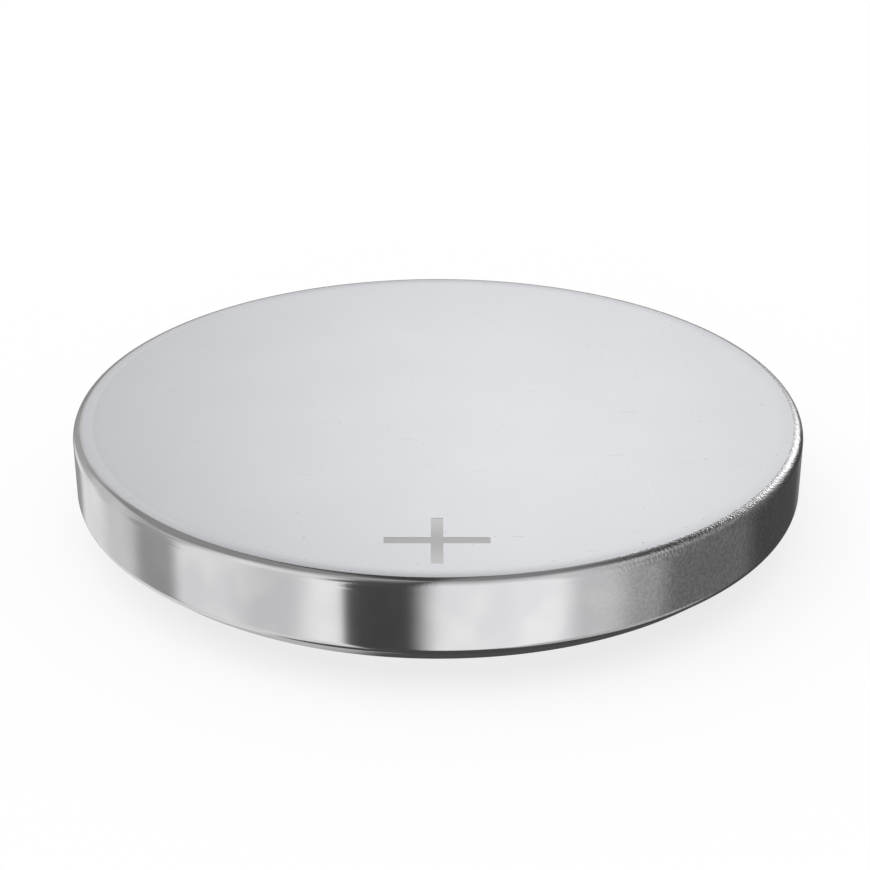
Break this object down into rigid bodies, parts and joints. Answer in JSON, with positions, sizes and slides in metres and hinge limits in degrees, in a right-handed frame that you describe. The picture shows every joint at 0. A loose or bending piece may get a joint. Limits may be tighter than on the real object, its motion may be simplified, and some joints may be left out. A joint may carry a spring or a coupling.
{
  "type": "lithium coin cell",
  "caption": "Flat round lithium cell: a crimped steel can with a flat positive face, sealed by a plastic gasket round a smaller stepped negative cap.",
  "frame": {"origin": "centre of the flat negative face, which the cell rests on", "axes": "+Z along the cell's axis, from the negative face to the positive face; X and Y are any two directions across the round cell"},
  "size_m": [0.02, 0.02, 0.0032],
  "materials": {
    "can_steel": "nickel-plated drawn steel, satin face and bright wall",
    "gasket_plastic": "moulded polypropylene, matte",
    "cap_steel": "nickel-plated drawn steel, satin",
    "lithium_metal": "soft rolled lithium, dull silver",
    "separator_fabric": "nonwoven polypropylene, white",
    "cathode_mix": "pressed manganese dioxide and carbon powder, dull black",
    "ring_steel": "stamped stainless steel"
  },
  "bodies": {
    "root": {"positive_can": "can_steel", "gasket": "gasket_plastic", "negative_cap": "cap_steel", "lithium_anode": "lithium_metal", "separator": "separator_fabric", "cathode_pellet": "cathode_mix", "cathode_ring": "ring_steel"}
  },
  "joints": []
}
